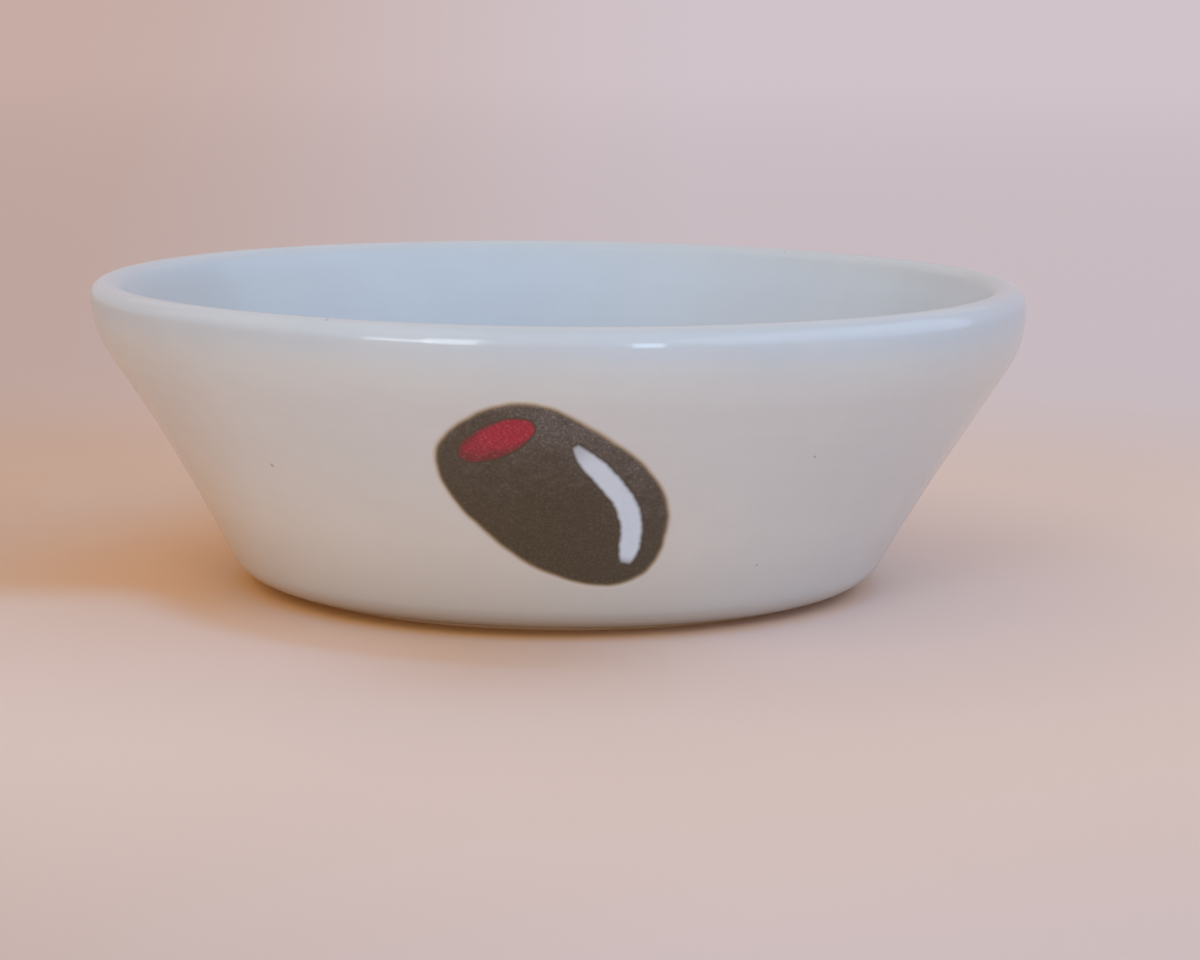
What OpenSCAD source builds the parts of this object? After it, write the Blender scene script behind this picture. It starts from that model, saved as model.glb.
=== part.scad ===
// Olive dish: a small thrown stoneware dish, glazed inside and out, with a stuffed olive
// painted on the front of its wall. Lengths are millimetres and +Z is up. The painted front
// faces -Y, and the origin is the middle of the ring that the foot stands on.

/* [Dish] */
// Widest width, across the outside of the lip
rim_d = 110; // [98:1:140]
// Height from the table to the top of the lip
dish_h = 36; // [30:0.5:60]
// Width of the underside, where the wall starts to turn up
base_d = 68.4; // [56:0.2:80]
// Radius of the turn from the underside into the wall
turn_r = 5; // [3:0.1:7]
// Radius of the long hollow sweep of the outer wall
sweep_r = 240; // [150:10:1200]
// Thickness of the wall at its foot, both glazes included
wall_t = 4.6; // [3.6:0.1:7]

/* [Lip] */
// Radius of the lip's top outer edge
lip_r = 1.9; // [1.2:0.1:3.4]
// Radius of the lip's inner edge
lip_inner_r = 2.4; // [1.2:0.1:3]
// Radius of the outer swell under the lip
swell_r = 13; // [5:0.5:20]

/* [Inside] */
// Thickness of the floor over the hollow of the foot, glaze included
floor_t = 4.4; // [3:0.1:7]
// Radius of the cove between the floor and the inner wall
cove_r = 12; // [6:0.5:18]

/* [Foot] */
// How far the foot ring stands in from the start of the turn
foot_inset = 1; // [0.5:0.1:4]
// Width of the foot ring
foot_w = 4; // [2.5:0.1:8]
// Height of the foot ring, on its outside
foot_h = 1.2; // [0.9:0.1:4]
// Depth of the turned hollow inside the foot ring
hollow_h = 2; // [0.9:0.1:4]
// Softened edge of the foot ring
foot_edge = 0.4; // [0.1:0.05:0.8]

/* [Glaze] */
// Thickness of each coat of glaze
glaze_t = 0.4; // [0.2:0.05:0.8]
// Angle below level at which the outer glaze ends on the turn
glaze_end = 84; // [35:1:86]

/* [Painted olive] */
// Length of the olive, as seen from the front
olive_l = 27; // [16:0.2:32]
// Width of the olive, as seen from the front
olive_w = 17.5; // [11:0.1:20]
// How far the olive's right end dips, in degrees
olive_tilt = 35; // [0:1:60]
// Length of the pimento
pimento_l = 8.5; // [4:0.1:12]
// Width of the pimento
pimento_w = 3.7; // [2:0.1:6]
// Turn of the pimento from the olive's long axis
pimento_turn = 61; // [0:1:90]
// Width of the shine stroke
shine_w = 2.2; // [1:0.1:3.5]
// How far the shine stroke bows out from straight
shine_bow = 2.6; // [1:0.1:4]
// Thickness of each coat of paint
paint_t = 0.1; // [0.05:0.01:0.3]

/* [Hidden] */
// Facets of a full turn, and steps along each arc of the section
turn_fn = 180;
turn_steps = 8;
sweep_steps = 8;
swell_steps = 4;
lip_steps = 8;
lip_inner_steps = 6;
cove_steps = 8;
// Points round an oval, the steps along the shine stroke, and the ovals' squareness
oval_points = 48;
shine_steps = 20;
oval_power = 2.1;
// Share of the dish's height at which the olive's middle lies
olive_height_share = 0.482;
// The brush's slow swings in and out round the olive: waves in a turn, their size as a share of
// the olive's width, and where they start
olive_swing_shares = [[3, 0.015, 103], [4, 0.009, -151], [5, 0.011, 83]];
// Middle of the pimento, and both ends of the shine stroke, as shares of the olive's half
// length and half width
pimento_middle_shares = [-0.65, 0.18];
shine_start_shares = [-0.146, 0.685];
shine_end_shares = [0.801, -0.304];
// Width of the stroke's thin tip as a share of its full width, and the share of its length
// over which it widens
shine_tip_share = 0.5;
shine_taper_share = 0.28;
// Powers that shape the stroke: how late it bows out most, and how blunt its ends are
shine_lean = 1.3;
shine_blunt = 8;

rim_r = rim_d / 2;
crest_r = rim_r - lip_r;
floor_z = hollow_h + floor_t;
foot_out_r = base_d / 2 - foot_inset;
foot_in_r = foot_out_r - foot_w;

// The outer skin is a chain of arcs, each tangent to the next: the turn, the hollow sweep,
// the swell and the lip. A point of the section is [radius, height]. The sweep's centre
// lies so far along and across from the line between the turn's and the swell's centres.
turn_c = [base_d / 2, foot_h - glaze_t + turn_r];
swell_c = [rim_r - swell_r, dish_h - lip_r];
lip_c = [crest_r, dish_h - lip_r];
span = swell_c - turn_c;
turn_reach = sweep_r + turn_r;
swell_reach = sweep_r + swell_r;
along = (span * span + turn_reach * turn_reach - swell_reach * swell_reach) / (2 * norm(span));
across = sqrt(turn_reach * turn_reach - along * along);
sweep_c = turn_c + (along * span + across * [span[1], -span[0]]) / norm(span);
turn_a = angle_to(turn_c, sweep_c);
swell_a = angle_to(swell_c, sweep_c);

// The inside is the lip's inner edge, a straight wall and a cove, tangent to each other, and
// a flat floor. wall_a is the wall's lean from upright.
lip_inner_c = [crest_r, dish_h - lip_inner_r];
cove_z = floor_z + cove_r;
cove_reach = sweep_r + wall_t + cove_r;
cove_c = [sweep_c[0] - sqrt(cove_reach * cove_reach - pow(cove_z - sweep_c[1], 2)), cove_z];
fall = lip_inner_c - cove_c;
wall_a = acos((lip_inner_r + cove_r) / norm(fall)) - atan2(fall[1], fall[0]);

olive_z = dish_h * olive_height_share;
half_olive = [olive_l / 2, olive_w / 2];

function angle_to(from, to) = atan2(to[1] - from[1], to[0] - from[0]);
function direction(a) = [cos(a), sin(a)];
function scaled(shares, sizes) = [shares[0] * sizes[0], shares[1] * sizes[1]];

// One arc of the section as [point, outward direction] pairs. side is 1 where the solid
// bulges, and -1 where it is hollow.
function arc(c, r, from_a, to_a, steps, side = 1) = [
    for (i = [0 : steps])
        let (d = direction(from_a + (to_a - from_a) * i / steps))
            [c + r * d, side * d]
];
function without_first(list) = [for (i = [1 : len(list) - 1]) list[i]];
// The skin moved out along its own directions
function raised(skin, t) = [for (p = skin) p[0] + t * p[1]];
function reversed(list) = [for (i = [len(list) - 1 : -1 : 0]) list[i]];

// The outer skin, from an angle on the turn up to the crest of the lip
function outer_skin(start_a) = concat(
    arc(turn_c, turn_r, start_a, turn_a, turn_steps),
    without_first(arc(sweep_c, sweep_r, turn_a + 180, swell_a + 180, sweep_steps, -1)),
    without_first(arc(swell_c, swell_r, swell_a, 0, swell_steps)),
    without_first(arc(lip_c, lip_r, 0, 90, lip_steps))
);
// The inner skin, from the crest of the lip down to the middle of the floor
function inner_skin() = concat(
    arc(lip_inner_c, lip_inner_r, 90, 180 - wall_a, lip_inner_steps),
    arc(cove_c, cove_r, -wall_a, -90, cove_steps, -1),
    [[[0, floor_z], [0, 1]]]
);

// An oval from a circle's formula with a power, a little squarer than an ellipse. Each swing
// moves its edge out and in along the line from its middle.
function oval(l, w, swings = []) = [
    for (i = [0 : oval_points - 1])
        let (a = 360 * i / oval_points)
        let (edge = [l / 2 * bent(cos(a)), w / 2 * bent(sin(a))])
            edge * (1 + w * swung(a, swings) / norm(edge))
];
function bent(c) = sign(c) * pow(abs(c), 2 / oval_power);
function swung(a, swings, i = 0) =
    i == len(swings) ? 0 : swings[i][1] * cos(swings[i][0] * a + swings[i][2]) + swung(a, swings, i + 1);

// The stroke runs from its thin tip to its blunt end along a line that bows out as a sine,
// and s is the share of the way. Its width grows from the tip, and both ends are rounded.
shine_start = scaled(shine_start_shares, half_olive);
shine_end = scaled(shine_end_shares, half_olive);
shine_out = direction(angle_to(shine_start, shine_end) + 90);
function shine_middle(s) = shine_start + s * (shine_end - shine_start)
    + shine_bow * sin(180 * pow(s, shine_lean)) * shine_out;
function shine_growth(s) = sin(90 * min(1, s / shine_taper_share));
function shine_half_w(s) = shine_w / 2 * (shine_tip_share + (1 - shine_tip_share) * shine_growth(s))
    * sqrt(1 - pow(abs(2 * s - 1), shine_blunt));
// Steps crowd towards both ends, and a point lies square off the line between its neighbours
function shine_share(i) = (1 - cos(180 * i / shine_steps)) / 2;
function shine_point(i, side) =
    let (s = shine_share(i))
    let (before = shine_middle(shine_share(i - 1)))
    let (after = shine_middle(shine_share(i + 1)))
        shine_middle(s) + side * shine_half_w(s) * direction(angle_to(before, after) + 90);
function shine_edge(side) = [for (i = [1 : shine_steps - 1]) shine_point(i, side)];

// A coat on the outer skin between two heights above it, all round the dish
module coat(start_a, low, high) {
    skin = outer_skin(start_a);
    rotate_extrude($fn = turn_fn)
        polygon(concat(raised(skin, low), reversed(raised(skin, high))));
}

// Places a flat figure, drawn round the olive's middle, as a block through the front wall
module through_front() {
    rotate([90, 0, 0])
        linear_extrude(height = rim_d)
            translate([0, olive_z])
                rotate(-olive_tilt)
                    children();
}

module olive_outline() {
    polygon(oval(olive_l, olive_w, olive_swing_shares));
}

module pimento_outline() {
    translate(scaled(pimento_middle_shares, half_olive))
        rotate(pimento_turn)
            polygon(oval(pimento_l, pimento_w));
}

module shine_outline() {
    polygon(concat([shine_start], shine_edge(1), [shine_end], reversed(shine_edge(-1))));
}

// The thrown and turned stoneware, bare where the glazes end
module clay_body() {
    color([0.80, 0.70, 0.58])
        rotate_extrude($fn = turn_fn)
            polygon(concat(
                [
                    [0, hollow_h],
                    [foot_in_r, hollow_h],
                    [foot_in_r, foot_edge],
                    [foot_in_r + foot_edge, 0],
                    [foot_out_r - foot_edge, 0],
                    [foot_out_r, foot_edge],
                    [foot_out_r, foot_h]
                ],
                raised(outer_skin(-90), -glaze_t),
                without_first(raised(inner_skin(), -glaze_t))
            ));
}

// The pale blue liner glaze, from the crest of the lip to the middle of the floor
module inner_glaze() {
    skin = inner_skin();
    color([0.69, 0.76, 0.83])
        rotate_extrude($fn = turn_fn)
            polygon(concat(raised(skin, 0), reversed(raised(skin, -glaze_t))));
}

// The warm white glaze of the outer wall, from the crest of the lip to the glaze line
module outer_glaze() {
    color([0.84, 0.81, 0.77])
        coat(-glaze_end, -glaze_t, 0);
}

module olive_paint() {
    color([0.27, 0.23, 0.19])
        intersection() {
            coat(-glaze_end, 0, paint_t);
            through_front() olive_outline();
        }
}

// The red filling, which lies only where there is olive paint under it
module pimento_paint() {
    color([0.65, 0.18, 0.25])
        intersection() {
            coat(-glaze_end, paint_t, 2 * paint_t);
            through_front() pimento_outline();
            through_front() olive_outline();
        }
}

// The pale brush stroke of the shine, also only on olive paint
module shine_paint() {
    color([0.80, 0.81, 0.86])
        intersection() {
            coat(-glaze_end, paint_t, 2 * paint_t);
            through_front() shine_outline();
            through_front() olive_outline();
        }
}

clay_body();
inner_glaze();
outer_glaze();
olive_paint();
pimento_paint();
shine_paint();
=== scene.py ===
import math

import bpy
import numpy as np
from bpy.props import FloatProperty, FloatVectorProperty, PointerProperty
from mathutils import Matrix, Vector


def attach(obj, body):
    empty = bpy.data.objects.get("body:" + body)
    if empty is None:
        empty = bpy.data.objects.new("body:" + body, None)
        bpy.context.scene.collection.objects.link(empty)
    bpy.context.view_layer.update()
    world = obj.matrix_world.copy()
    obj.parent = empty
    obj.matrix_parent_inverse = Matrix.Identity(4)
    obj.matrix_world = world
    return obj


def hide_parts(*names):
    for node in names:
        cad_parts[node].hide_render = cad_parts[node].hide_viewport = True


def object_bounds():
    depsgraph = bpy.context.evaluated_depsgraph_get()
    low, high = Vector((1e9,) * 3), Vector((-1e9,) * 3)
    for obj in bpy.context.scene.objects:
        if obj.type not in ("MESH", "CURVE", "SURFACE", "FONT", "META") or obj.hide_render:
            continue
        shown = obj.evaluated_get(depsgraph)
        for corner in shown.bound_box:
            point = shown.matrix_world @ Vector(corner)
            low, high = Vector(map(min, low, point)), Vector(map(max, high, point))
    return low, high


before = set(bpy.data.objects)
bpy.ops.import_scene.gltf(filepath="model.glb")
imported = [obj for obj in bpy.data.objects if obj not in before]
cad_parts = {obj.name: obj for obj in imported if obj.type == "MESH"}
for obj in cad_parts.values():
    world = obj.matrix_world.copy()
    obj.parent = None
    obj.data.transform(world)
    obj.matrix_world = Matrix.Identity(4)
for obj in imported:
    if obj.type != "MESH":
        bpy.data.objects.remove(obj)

cad_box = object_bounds()

bl_info = {
    "name": "Olive dish",
    "version": (1, 0, 0),
    "blender": (4, 5, 0),
    "location": "3D View > Sidebar > Dish",
    "description": "A thrown and glazed olive dish with a stuffed olive painted on its wall",
    "category": "Add Mesh",
}

MM = 0.001
BODY = "root"
TURN = 2 * math.pi

# The front of the dish faces -Y, and an angle round it runs from there towards +X.
# Lengths inside the shape functions are millimetres, and meshes are in metres.


# Sizes and colours that a user would change

def length(label, words, millimetres):
    """A length that a user can change, given in millimetres."""
    return FloatProperty(
        name=label, description=words, default=millimetres * MM, unit="LENGTH", subtype="DISTANCE"
    )


def angle(label, words, degrees):
    """An angle that a user can change, given in degrees."""
    return FloatProperty(
        name=label, description=words, default=math.radians(degrees), subtype="ANGLE"
    )


def colour(label, words, red, green, blue):
    """A colour that a user can change, given as a screen's, from 0 to 255."""
    return FloatVectorProperty(
        name=label,
        description=words,
        size=3,
        subtype="COLOR",
        min=0,
        max=1,
        default=[linear(red), linear(green), linear(blue)],
    )


def linear(value):
    """One channel of a screen colour, 0 to 255, as linear light from 0 to 1."""
    share = value / 255
    return share / 12.92 if share <= 0.04045 else ((share + 0.055) / 1.055) ** 2.4


CAD_WIDTH_MM = (cad_box[1][0] - cad_box[0][0]) / MM
CAD_HEIGHT_MM = (cad_box[1][2] - cad_box[0][2]) / MM


class DishSizes(bpy.types.PropertyGroup):
    """Sizes of the dish and its layers."""

    rim_d: length("Rim width", "Widest width, across the outside of the lip", CAD_WIDTH_MM)
    dish_h: length("Height", "From the table to the top of the lip", CAD_HEIGHT_MM)
    base_d: length("Base width", "Where the wall starts to turn up", 68.4)
    turn_r: length("Turn radius", "Turn from the underside into the wall", 5)
    sweep_r: length("Sweep radius", "Hollow sweep of the outer wall", 240)
    wall_t: length("Wall", "Thickness of the wall at its foot", 4.6)
    lip_r: length("Lip radius", "Top outer edge of the lip", 1.9)
    lip_inner_r: length("Inner lip radius", "Inner edge of the lip", 2.4)
    swell_r: length("Swell radius", "Outer swell under the lip", 13)
    floor_t: length("Floor", "Thickness of the floor over the hollow", 4.4)
    cove_r: length("Cove radius", "Cove between floor and wall", 12)
    foot_inset: length("Foot inset", "From the start of the turn to the foot ring", 1)
    foot_w: length("Foot width", "Width of the foot ring", 4)
    foot_h: length("Foot height", "Height of the foot ring, outside", 1.2)
    hollow_h: length("Hollow", "Depth of the hollow inside the foot ring", 2)
    glaze_t: length("Glaze", "Thickness of a coat of glaze", 0.4)
    glaze_end: angle("Glaze end", "How far below level the outer glaze ends on the turn", 84)


class OliveSizes(bpy.types.PropertyGroup):
    """Sizes of the painted olive, as seen from the front."""

    olive_l: length("Olive length", "Along the olive", 27)
    olive_w: length("Olive width", "Across the olive", 17.5)
    olive_tilt: angle("Olive tilt", "How far the right end dips", 35)
    pimento_l: length("Pimento length", "Along the pimento", 8.5)
    pimento_w: length("Pimento width", "Across the pimento", 3.7)
    pimento_turn: angle("Pimento turn", "From the olive's long axis", 61)
    shine_w: length("Shine width", "Width of the shine stroke", 2.2)
    shine_bow: length("Shine bow", "How far the stroke bows out from straight", 2.6)
    paint_t: length("Paint", "Thickness of the painted figure", 0.1)


class DishColours(bpy.types.PropertyGroup):
    """Colours of the clay, the glazes, the paints and the stage."""

    clay: colour("Bare clay", "Fired stoneware", 180, 142, 106)
    wall_glaze: colour("Wall glaze", "White of the outer wall", 193, 193, 195)
    # Warmer white low on the wall: painted warm light bounced up from the floor
    wall_warm_bounce: colour("Wall glaze, low", "Where the coat thins towards the foot", 198, 193, 189)
    # Cool white of the lip: partly the glaze's own, partly painted cool sky light
    lip_glaze: colour("Lip glaze", "Cool white of the lip", 174, 183, 197)
    # The inside's pale blue is partly painted cool sky light
    liner_glaze: colour("Liner glaze", "Pale blue of the inside", 174, 185, 202)
    liner_pool: colour("Liner glaze, pooled", "Where the liner is thick", 155, 171, 192)
    # Greyer white on the left of the inside: painted shade
    liner_left_shade: colour("Liner glaze, thin", "Where the liner is thin, on the left", 168, 173, 182)
    speck: colour("Iron specks", "Specks of iron in the glazes", 84, 72, 62)
    olive: colour("Olive paint", "Dark olive", 61, 51, 35)
    # Paler olive: painted sheen of reflected light on the olive's upper right
    olive_sheen: colour("Olive paint, thin", "Where the dark paint is brushed out", 87, 79, 75)
    halo: colour("Paint edge", "Ochre edge of the dark paint", 147, 121, 80)
    pimento: colour("Pimento paint", "Red", 153, 18, 45)
    pimento_deep: colour("Pimento paint, deep", "Red where it is brushed thin", 108, 26, 32)
    shine: colour("Shine paint", "Pale brush stroke", 195, 204, 219)
    # The floor's warmth beside the dish on the left is partly painted warm shadow
    floor_warm: colour("Floor, left", "Floor on the left of the dish", 196, 165, 150)
    floor_cool: colour("Floor, right", "Floor in front of the dish, and on its right", 208, 190, 190)
    # Orange that shows only in the shade under and round the dish: painted warm shadow
    floor_warm_shadow: colour("Floor, under", "Floor under the dish and close round its foot", 214, 158, 96)
    far_warm: colour("Backdrop, left", "Far floor, on the left", 198, 172, 164)
    far_cool: colour("Backdrop, right", "Far floor, on the right", 208, 195, 201)


# The section of the dish, as arcs that are tangent to each other

def polar(degrees):
    """Unit directions at these angles, in a plane."""
    turn = np.radians(degrees)
    return np.stack([np.cos(turn), np.sin(turn)], -1)


def arc(centre, radius, start, end, steps, side=1):
    """Points of an arc between two angles, with the directions out of the solid.

    side is 1 where the solid bulges and -1 where it is hollow.
    """
    out = polar(np.linspace(start, end, steps + 1))
    return np.concatenate([centre + radius * out, side * out], 1)


def angle_to(here, there):
    """The direction from one point of a plane to another, in degrees."""
    return math.degrees(math.atan2(there[1] - here[1], there[0] - here[0]))


class Section:
    """The outer and inner skins of the dish, in millimetres, as [radius, height] and direction.

    The outer skin is the turn, the hollow sweep, the swell and the lip. The sweep's centre is
    where circles about the turn's and swell's centres cross. The inner skin is the lip's inner
    edge, a straight line tangent to it and to the cove, the cove, and the flat floor.
    """

    ARC_STEPS = 60

    def __init__(self, sizes):
        def mm(name):
            return getattr(sizes, name) / MM

        rim_r, height, lip_r = mm("rim_d") / 2, mm("dish_h"), mm("lip_r")
        turn_r, sweep_r, swell_r = mm("turn_r"), mm("sweep_r"), mm("swell_r")
        inner_r, cove_r = mm("lip_inner_r"), mm("cove_r")
        self.base_r, self.height, self.glaze_t = mm("base_d") / 2, height, mm("glaze_t")
        self.foot_h, self.hollow_h = mm("foot_h"), mm("hollow_h")
        self.floor_z = self.hollow_h + mm("floor_t")
        self.foot_out = self.base_r - mm("foot_inset")
        self.foot_in = self.foot_out - mm("foot_w")
        self.crest_r = rim_r - lip_r

        turn_c = np.array([self.base_r, self.foot_h - self.glaze_t + turn_r])
        swell_c = np.array([rim_r - swell_r, height - lip_r])
        lip_c = np.array([self.crest_r, height - lip_r])
        span = swell_c - turn_c
        gap = np.hypot(*span)
        turn_reach, swell_reach = sweep_r + turn_r, sweep_r + swell_r
        along = (gap**2 + turn_reach**2 - swell_reach**2) / (2 * gap)
        across = math.sqrt(turn_reach**2 - along**2)
        sweep_c = turn_c + (along * span + across * np.array([span[1], -span[0]])) / gap
        turn_a, swell_a = angle_to(turn_c, sweep_c), angle_to(swell_c, sweep_c)
        steps = self.ARC_STEPS
        outer = [
            arc(turn_c, turn_r, -90, turn_a, steps),
            arc(sweep_c, sweep_r, turn_a + 180, swell_a + 180, steps, -1)[1:],
            arc(swell_c, swell_r, swell_a, 0, steps)[1:],
            arc(lip_c, lip_r, 0, 90, steps)[1:],
        ]

        inner_c = np.array([self.crest_r, height - inner_r])
        reach = sweep_r + mm("wall_t") + cove_r
        cove_z = self.floor_z + cove_r
        cove_x = sweep_c[0] - math.sqrt(reach**2 - (cove_z - sweep_c[1]) ** 2)
        fall = inner_c - np.array([cove_x, cove_z])
        lean = math.degrees(
            math.acos((inner_r + cove_r) / np.hypot(*fall)) - math.atan2(fall[1], fall[0])
        )
        inner = [
            arc(inner_c, inner_r, 90, 180 - lean, steps),
            arc(np.array([cove_x, cove_z]), cove_r, -lean, -90, steps, -1),
            np.array([[0, self.floor_z, 0, 1]]),
        ]
        self.outer = self.measured(np.concatenate(outer))
        self.inner = self.measured(np.concatenate(inner))
        self.turn_length = math.radians(90 + turn_a) * turn_r
        self.turn_r = turn_r
        self.outer_length, self.inner_length = self.outer[-1, 4], self.inner[-1, 4]

    @staticmethod
    def measured(skin):
        """A skin with the length along it in a fifth column."""
        steps = np.hypot(*np.diff(skin[:, :2], axis=0).T)
        return np.column_stack([skin, np.concatenate([[0], np.cumsum(steps)])])

    @staticmethod
    def at(skin, lengths):
        """Radius, height and direction of a skin at these lengths along it."""
        return [np.interp(lengths, skin[:, 4], skin[:, k]) for k in range(4)]


# The hand's traces on the form, all in millimetres

# Waves of the rim up and down and in and out, as (waves in a turn, size, start)
RIM_WAVES = ((1, 0.19, -1.57), (3, 0.05, 2.1), (5, 0.03, 4.0))
ROUND_WAVES = ((1, 0.33, 1.38), (2, 0.085, 2.76))
RIM_DROP = sum(term[1] for term in RIM_WAVES)
ROUND_DROP = sum(term[1] for term in ROUND_WAVES)
# How much fuller the right side is, and what brings the largest share^2 (1 - share) to 1
FULLER, FULLER_SCALE = 0.55, 6.75
# Ridges as (height, pitch, start): of the rib, of the wall and floor inside, and underneath
RIB_RIDGES = ((0.006, 4.7, 0.4), (0.003, 2.3, 2.0))
RIB_SWELL = (0.008, 11.3, 1.1)
WALL_RIDGES = ((0.018, 5.3, 1.0), (0.006, 2.9, 0.2))
FLOOR_RIDGE = (0.1, 6.4, 2.6)
HOLLOW_RIDGE = (0.05, 2.1, 0.0)
# How far ridges take to fade, and how far from the crest the rib's end and the spiral starts
FADE, RIB_END, SPIRAL_START = 4, 9, 5
# The button in the middle of the floor and the moat round it: height, middle and width
BUTTON, MOAT = (0.3, 0, 5.5), (-0.12, 11, 4)


def ramp(value, low, high):
    """0 below low, 1 above high, and straight between. With low above high it falls."""
    return np.clip((value - low) / (high - low), 0, 1)


def rise(value, height, middle, width):
    """A soft rise: height times exp(-((value - middle) / width)^2)."""
    return height * np.exp(-(((value - middle) / width) ** 2))


def whole_turn(count):
    """Evenly spaced angles all the way round."""
    return TURN * np.arange(count) / count


def waves(turn, *terms):
    """A sum of cosines round the dish. Each term is (waves in a turn, size, start)."""
    return sum(size * np.cos(count * turn + start) for count, size, start in terms)


def ridges(turn, lengths, *terms):
    """Ridges that climb one pitch in each turn. Each term is (height, pitch, start)."""
    return sum(size * np.cos(TURN * lengths / pitch - turn + start) for size, pitch, start in terms)


def leaned(section, turn, radius, height):
    """Moves points as the thrower's hand left them: the rim tilted, a little wavy and pulled
    to the left, and the wall fuller on the right.

    The rim's moves grow with the square of the height, and only lower and narrow the form. The
    fuller side goes with share^2 (1 - share) up the height, which is largest at two thirds, and
    fades out towards the middle.
    """
    share = ramp(height, 0, section.height)
    drop = share**2 * (waves(turn, *RIM_WAVES) - RIM_DROP)
    draw = share**2 * (waves(turn, *ROUND_WAVES) - ROUND_DROP)
    fuller = FULLER * FULLER_SCALE * share**2 * (1 - share) * np.sin(turn)
    return radius + draw + fuller * ramp(radius, 0, section.base_r) ** 2, height + drop


def rib_marks(section, turn, lengths):
    """Faint ridges that the fingers and the rib left on the outer wall, fading at both ends. The
    ridges swing between a fifth of their height and all of it, twice round the dish.
    """
    foot, lip = section.turn_length, section.outer_length - RIB_END
    wall = ramp(lengths, foot, foot + FADE) * ramp(lengths, lip, lip - FADE)
    swing = 0.6 + 0.4 * np.cos(2 * turn + lengths / 5)
    return wall * (swing * ridges(turn, lengths, *RIB_RIDGES) + ridges(turn, lengths, RIB_SWELL))


def finger_marks(section, turn, lengths):
    """The spiral inside: soft on the wall, clearer on the floor, with a low button in the middle.

    Lengths run from the crest of the lip to the middle of the floor. The ridges start past the
    lip's edge, and go over from the wall's to the floor's in the cove.
    """
    left = section.inner_length - lengths
    floor = ramp(left, section.base_r, section.base_r - 3 * FADE)
    marks = (1 - floor) * ridges(turn, lengths, *WALL_RIDGES)
    marks = marks + floor * ridges(turn, lengths, FLOOR_RIDGE)
    marks = marks * ramp(lengths, SPIRAL_START, SPIRAL_START + 1.5 * FADE) * ramp(left, 0, FADE)
    return marks + rise(left, *BUTTON) + rise(left, *MOAT)


def in_space(turn, radius, height):
    """Points from angles round the dish, radii and heights: x is radius times the sine of the
    angle, and y is minus radius times its cosine.
    """
    across, away = radius * np.sin(turn), -radius * np.cos(turn)
    return np.stack(np.broadcast_arrays(across, away, height), -1)


def raised(section, skin, turn, lengths, lift):
    """Points on a skin: its radius and height, moved by lift along its direction, and leaned."""
    radius, height, out, up = section.at(skin, lengths)
    return in_space(turn, *leaned(section, turn, radius + lift * out, height + lift * up))


def outer_points(section, turn, lengths, lift):
    """Points on the outer skin, raised by lift and by the rib marks."""
    return raised(section, section.outer, turn, lengths, lift + rib_marks(section, turn, lengths))


def inner_points(section, turn, lengths, lift):
    """Points on the inner skin, raised by lift and by the finger marks."""
    return raised(section, section.inner, turn, lengths, lift + finger_marks(section, turn, lengths))


# Meshes

# Edges that turn more than this are shaded sharp, as where a coat ends on what is under it
SHARP_TURN = math.radians(55)


def grid_faces(rows, columns, closed_rows=False):
    """Four-sided faces of a grid that closes on itself along its columns."""
    row = np.arange(rows if closed_rows else rows - 1)[:, None]
    column = np.arange(columns)
    below, beside = (row + 1) % rows, (column + 1) % columns
    corners = [
        row * columns + column,
        row * columns + beside,
        below * columns + beside,
        below * columns + column,
    ]
    return np.stack(np.broadcast_arrays(*corners), -1).reshape(-1, 4)


def pole_faces(pole, first, columns, flip):
    """Triangles from one pole point to a row of points that starts at first."""
    column = np.arange(columns)
    here, beside = first + column, first + (column + 1) % columns
    pair = (beside, here) if flip else (here, beside)
    return np.stack([np.full(columns, pole), *pair], -1)


def make_mesh(name, points_mm, quads, triangles=None):
    """A mesh object from points in millimetres, with its quads and triangles. It is smooth
    but for its sharp edges.
    """
    triangles = np.zeros((0, 3), int) if triangles is None else triangles
    mesh = bpy.data.meshes.new(name)
    mesh.vertices.add(len(points_mm))
    mesh.vertices.foreach_set("co", (points_mm * MM).astype(np.float32).ravel())
    corners = np.concatenate([quads.ravel(), triangles.ravel()])
    sizes = np.concatenate([np.full(len(quads), 4), np.full(len(triangles), 3)])
    mesh.loops.add(len(corners))
    mesh.loops.foreach_set("vertex_index", corners.astype(np.int32))
    mesh.polygons.add(len(sizes))
    starts = np.concatenate([[0], np.cumsum(sizes)[:-1]])
    mesh.polygons.foreach_set("loop_start", starts.astype(np.int32))
    mesh.polygons.foreach_set("use_smooth", np.ones(len(sizes), bool))
    mesh.update(calc_edges=True)
    mesh.validate()
    mesh.set_sharp_from_angle(angle=SHARP_TURN)
    piece = bpy.data.objects.new(name, mesh)
    bpy.context.scene.collection.objects.link(piece)
    return piece


def turned_shell(name, rows):
    """A closed shell from rows of points round the dish, where the last row meets the first."""
    count, columns = rows.shape[:2]
    quads = grid_faces(count, columns, closed_rows=True)
    return make_mesh(name, rows.reshape(-1, 3), quads)


def turned_solid(name, rows, start_pole, end_pole):
    """A closed solid from rows of points round the dish, with a pole at both ends."""
    count, columns = rows.shape[:2]
    points = np.concatenate([rows.reshape(-1, 3), [start_pole, end_pole]])
    quads = grid_faces(count, columns)
    last = count * columns
    triangles = np.concatenate([
        pole_faces(last, 0, columns, flip=True),
        pole_faces(last + 1, last - columns, columns, flip=False),
    ])
    return make_mesh(name, points, quads, triangles)


def add_attribute(piece, name, values):
    """A number on each point of a piece, which its material reads."""
    layer = piece.data.attributes.new(name, "FLOAT", "POINT")
    layer.data.foreach_set("value", values.astype(np.float32).ravel())


def finish_piece(piece, slot, material, *nodes):
    """Gives a piece its material, and puts it on the dish in place of its nodes. The slot is not used.
    """
    piece.data.materials.append(material)
    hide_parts(*nodes)
    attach(piece, BODY)


# Shader expressions

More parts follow.
